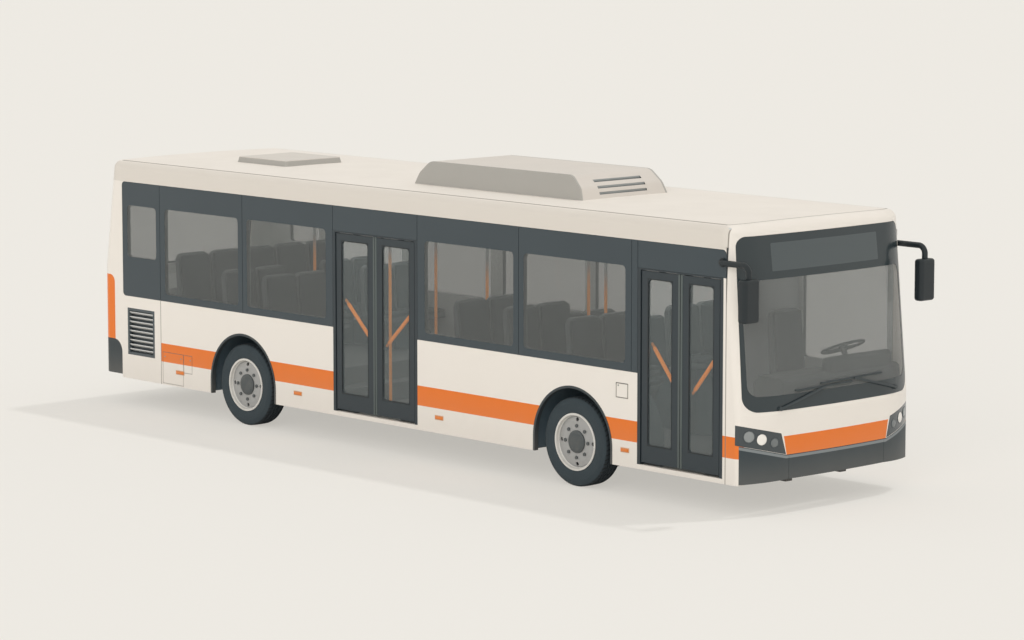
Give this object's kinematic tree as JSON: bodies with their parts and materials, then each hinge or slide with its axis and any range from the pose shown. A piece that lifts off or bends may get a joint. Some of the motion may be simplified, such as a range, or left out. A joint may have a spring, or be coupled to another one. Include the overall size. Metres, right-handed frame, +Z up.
{
  "type": "city bus",
  "caption": "Single-deck low-entry city bus with two inward-gliding double doors, steered front axle and rolling wheels.",
  "frame": {"origin": "on the ground, below the middle of the overall length and width", "axes": "+X forwards, +Y to the left (driver's side), +Z up"},
  "size_m": [10.5525, 2.809, 3.112],
  "materials": {
    "body_paint": "satin cream paint",
    "dark_trim": "dark grey plastic and rubber",
    "glass_tinted": "grey tinted glass, black printed edge",
    "door_paint": "dark grey powder coat",
    "steel_frame": "black chassis paint",
    "floor_vinyl": "grey safety vinyl on ply",
    "tyre": "black tyre rubber",
    "rim": "silver wheel paint",
    "cast": "cast iron",
    "seat_shell": "dark grey shell with a cloth pad",
    "pole": "orange and grey powder coat",
    "lamp": "clear lamp cover",
    "tail_lamp": "red and amber lens",
    "unit_paint": "warm grey moulded cover",
    "bumper": "dark grey moulded bumper",
    "display": "blank dark display"
  },
  "bodies": {
    "bus": {"roof": "body_paint", "wall_left": "body_paint", "wall_right": "body_paint", "rear_wall": "body_paint", "front_mask": "body_paint", "rear_bumper": "bumper", "front_bumper": "bumper", "rear_window": "glass_tinted", "side_grilles": "dark_trim", "windscreen": "glass_tinted", "headlamps": "lamp", "destination_display": "display", "side_glass": "glass_tinted", "door_frames": "door_paint", "floor": "floor_vinyl", "rear_floor": "floor_vinyl", "podiums": "floor_vinyl", "wheel_boxes": "steel_frame", "arch_trims": "dark_trim", "underframe": "steel_frame", "engine": "cast", "front_axle": "steel_frame", "rear_axle": "steel_frame", "air_unit": "unit_paint", "roof_hatch": "unit_paint", "mirrors": "dark_trim", "wipers": "dark_trim", "dashboard": "dark_trim", "passenger_seats": "seat_shell", "driver_seat": "seat_shell", "partition": "dark_trim", "grab_poles": "pole", "air_springs": "dark_trim", "tail_lamps": "tail_lamp"},
    "tie_rod": {"tie_rod": "steel_frame"},
    "engine_door": {"engine_door": "body_paint"},
    "knuckle_left": {"knuckle_left": "cast"},
    "knuckle_right": {"knuckle_right": "cast"},
    "steering_wheel": {"steering_wheel": "dark_trim"},
    "wheel_front_left": {"tyre_front_left": "tyre", "rim_front_left": "rim"},
    "wheel_front_right": {"tyre_front_right": "tyre", "rim_front_right": "rim"},
    "wheel_rear_left": {"tyre_rear_left": "tyre", "rim_rear_left": "rim"},
    "wheel_rear_right": {"tyre_rear_right": "tyre", "rim_rear_right": "rim"},
    "front_door_rear_arm": {"front_door_rear_arm": "door_paint"},
    "front_door_rear_leaf": {"front_door_rear_leaf": "door_paint", "front_door_rear_glass": "glass_tinted"},
    "front_door_fore_arm": {"front_door_fore_arm": "door_paint"},
    "front_door_fore_leaf": {"front_door_fore_leaf": "door_paint", "front_door_fore_glass": "glass_tinted"},
    "middle_door_rear_arm": {"middle_door_rear_arm": "door_paint"},
    "middle_door_rear_leaf": {"middle_door_rear_leaf": "door_paint", "middle_door_rear_glass": "glass_tinted"},
    "middle_door_fore_arm": {"middle_door_fore_arm": "door_paint"},
    "middle_door_fore_leaf": {"middle_door_fore_leaf": "door_paint", "middle_door_fore_glass": "glass_tinted"}
  },
  "joints": [
    {"name": "steer_left", "type": "hinge", "parent": "bus", "child": "knuckle_left", "pos_m": [2.68, 0.93, 0.464], "axis": [0, 0, 1], "range_deg": [-38, 38]},
    {"name": "steer_right", "type": "hinge", "parent": "bus", "child": "knuckle_right", "pos_m": [2.68, -0.93, 0.464], "axis": [0, 0, 1], "range_deg": [-38, 38]},
    {"name": "tie_rod", "type": "hinge", "parent": "knuckle_left", "child": "tie_rod", "pos_m": [2.5, 0.93, 0.225], "axis": [0, 0, 1], "range_deg": [-38, 38]},
    {"name": "engine_door", "type": "hinge", "parent": "bus", "child": "engine_door", "pos_m": [-5.314, 0, 1.403], "axis": [0, 1, 0], "range_deg": [0, 75]},
    {"name": "roll_front_left", "type": "hinge", "parent": "knuckle_left", "child": "wheel_front_left", "pos_m": [2.68, 1.09, 0.464], "axis": [0, 1, 0], "continuous": true},
    {"name": "roll_rear_left", "type": "hinge", "parent": "bus", "child": "wheel_rear_left", "pos_m": [-2.67, 1.09, 0.464], "axis": [0, 1, 0], "continuous": true},
    {"name": "roll_front_right", "type": "hinge", "parent": "knuckle_right", "child": "wheel_front_right", "pos_m": [2.68, -1.09, 0.464], "axis": [0, 1, 0], "continuous": true},
    {"name": "roll_rear_right", "type": "hinge", "parent": "bus", "child": "wheel_rear_right", "pos_m": [-2.67, -1.09, 0.464], "axis": [0, 1, 0], "continuous": true},
    {"name": "steering_wheel", "type": "hinge", "parent": "bus", "child": "steering_wheel", "pos_m": [4.655, 0.65, 1.47], "axis": [-0.3746, 0, 0.9272], "range_deg": [-684, 684]},
    {"name": "front_door_rear_arm", "type": "hinge", "parent": "bus", "child": "front_door_rear_arm", "pos_m": [3.638, -1.18, 1.35], "axis": [0, 0, 1], "range_deg": [0, 80]},
    {"name": "front_door_rear_leaf", "type": "hinge", "parent": "front_door_rear_arm", "child": "front_door_rear_leaf", "pos_m": [3.89475, -1.18, 1.35], "axis": [0, 0, 1], "range_deg": [-160, 0]},
    {"name": "front_door_fore_arm", "type": "hinge", "parent": "bus", "child": "front_door_fore_arm", "pos_m": [4.773, -1.18, 1.35], "axis": [0, 0, 1], "range_deg": [-80, 0]},
    {"name": "front_door_fore_leaf", "type": "hinge", "parent": "front_door_fore_arm", "child": "front_door_fore_leaf", "pos_m": [4.51625, -1.18, 1.35], "axis": [0, 0, 1], "range_deg": [0, 160]},
    {"name": "middle_door_rear_arm", "type": "hinge", "parent": "bus", "child": "middle_door_rear_arm", "pos_m": [-1.067, -1.18, 1.35], "axis": [0, 0, 1], "range_deg": [0, 80]},
    {"name": "middle_door_rear_leaf", "type": "hinge", "parent": "middle_door_rear_arm", "child": "middle_door_rear_leaf", "pos_m": [-0.7585, -1.18, 1.35], "axis": [0, 0, 1], "range_deg": [-160, 0]},
    {"name": "middle_door_fore_arm", "type": "hinge", "parent": "bus", "child": "middle_door_fore_arm", "pos_m": [0.275, -1.18, 1.35], "axis": [0, 0, 1], "range_deg": [-80, 0]},
    {"name": "middle_door_fore_leaf", "type": "hinge", "parent": "middle_door_fore_arm", "child": "middle_door_fore_leaf", "pos_m": [-0.0335, -1.18, 1.35], "axis": [0, 0, 1], "range_deg": [0, 160]}
  ],
  "couplings": [
    {"joint": "steer_right", "follows": "steer_left", "ratio": 1},
    {"joint": "tie_rod", "follows": "steer_left", "ratio": -1},
    {"joint": "steering_wheel", "follows": "steer_left", "ratio": 18},
    {"joint": "front_door_rear_leaf", "follows": "front_door_rear_arm", "ratio": -2},
    {"joint": "front_door_fore_arm", "follows": "front_door_rear_arm", "ratio": -1},
    {"joint": "front_door_fore_leaf", "follows": "front_door_rear_arm", "ratio": 2},
    {"joint": "middle_door_rear_leaf", "follows": "middle_door_rear_arm", "ratio": -2},
    {"joint": "middle_door_fore_arm", "follows": "middle_door_rear_arm", "ratio": -1},
    {"joint": "middle_door_fore_leaf", "follows": "middle_door_rear_arm", "ratio": 2}
  ]
}
